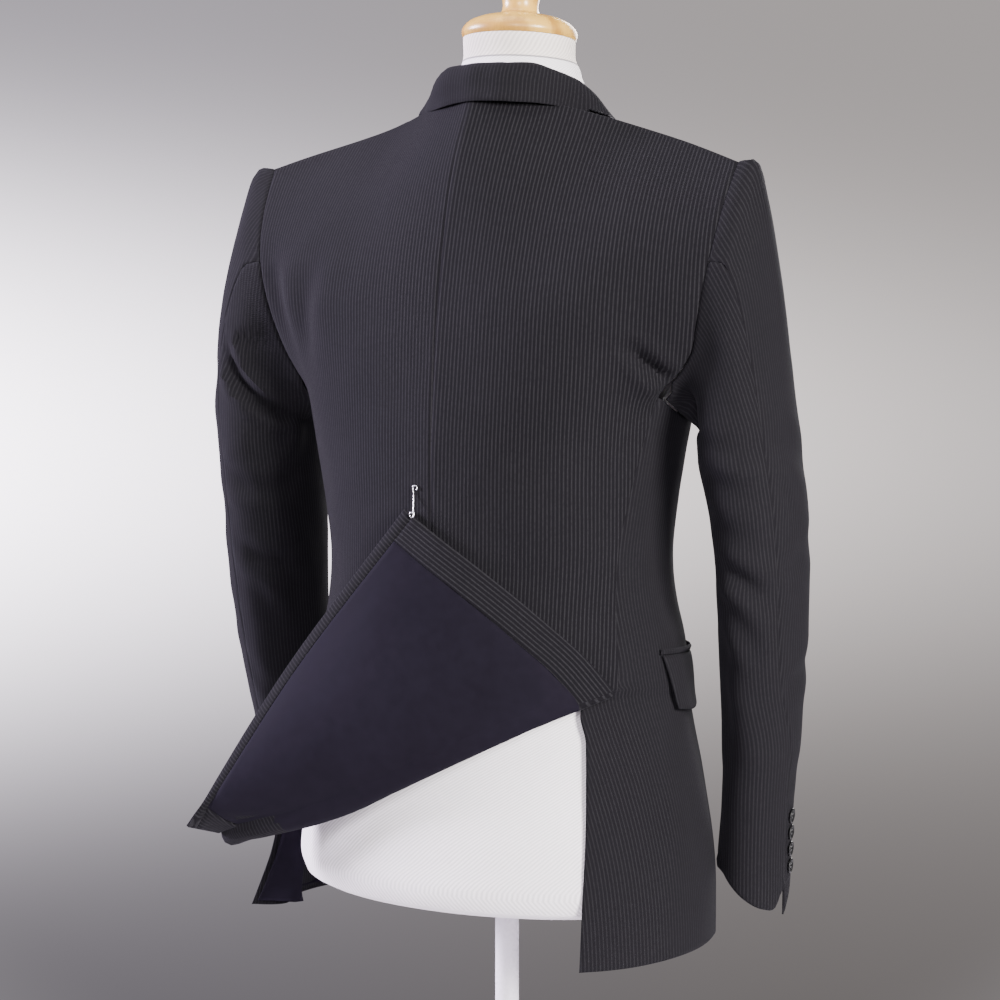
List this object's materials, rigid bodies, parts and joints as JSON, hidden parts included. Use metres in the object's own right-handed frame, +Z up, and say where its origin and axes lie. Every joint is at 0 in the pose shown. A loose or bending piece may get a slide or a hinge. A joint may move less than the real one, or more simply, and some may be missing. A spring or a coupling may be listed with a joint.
{
  "type": "pinstriped suit jacket on a limbless dress form",
  "caption": "Pinstriped suit jacket with side vents on a limbless dress form, its back skirt turned up and pinned so that the lining shows.",
  "frame": {"origin": "centre of the stand's base, on its underside", "axes": "+Z up the pole, -Y to the jacket's front, +X to the wearer's left"},
  "size_m": [0.5936, 0.3623, 1.5856],
  "materials": {
    "suiting": "matt charcoal wool with a fine light pinstripe",
    "lining": "smooth navy lining with a soft sheen",
    "button": "polished near-black",
    "form_cover": "off-white twill cover",
    "form_wood": "clear varnish on pale wood",
    "stand": "white gloss paint",
    "steel": "plated wire"
  },
  "bodies": {
    "root": {"back_left": "suiting", "back_right": "suiting", "back_skirt_turned": "suiting", "vent_facing_left": "suiting", "vent_facing_right": "suiting", "hem_facing": "suiting", "side_left": "suiting", "side_right": "suiting", "front_left": "suiting", "front_right": "suiting", "lapel_left": "suiting", "lapel_right": "suiting", "collar": "suiting", "upper_sleeve_left": "suiting", "upper_sleeve_right": "suiting", "under_sleeve_left": "suiting", "under_sleeve_right": "suiting", "pocket_flap_left": "suiting", "pocket_flap_right": "suiting", "pocket_jet_left": "suiting", "pocket_jet_right": "suiting", "breast_welt": "suiting", "back_skirt_lining": "lining", "side_lining_left": "lining", "front_button_1": "button", "front_button_2": "button", "cuff_button_left_1": "button", "cuff_button_left_2": "button", "cuff_button_left_3": "button", "cuff_button_left_4": "button", "cuff_button_right_1": "button", "cuff_button_right_2": "button", "cuff_button_right_3": "button", "cuff_button_right_4": "button", "form_torso": "form_cover", "form_neck": "form_cover", "neck_cap": "form_wood", "pole": "stand", "pole_socket": "stand", "base": "stand", "safety_pin": "steel"}
  },
  "joints": []
}
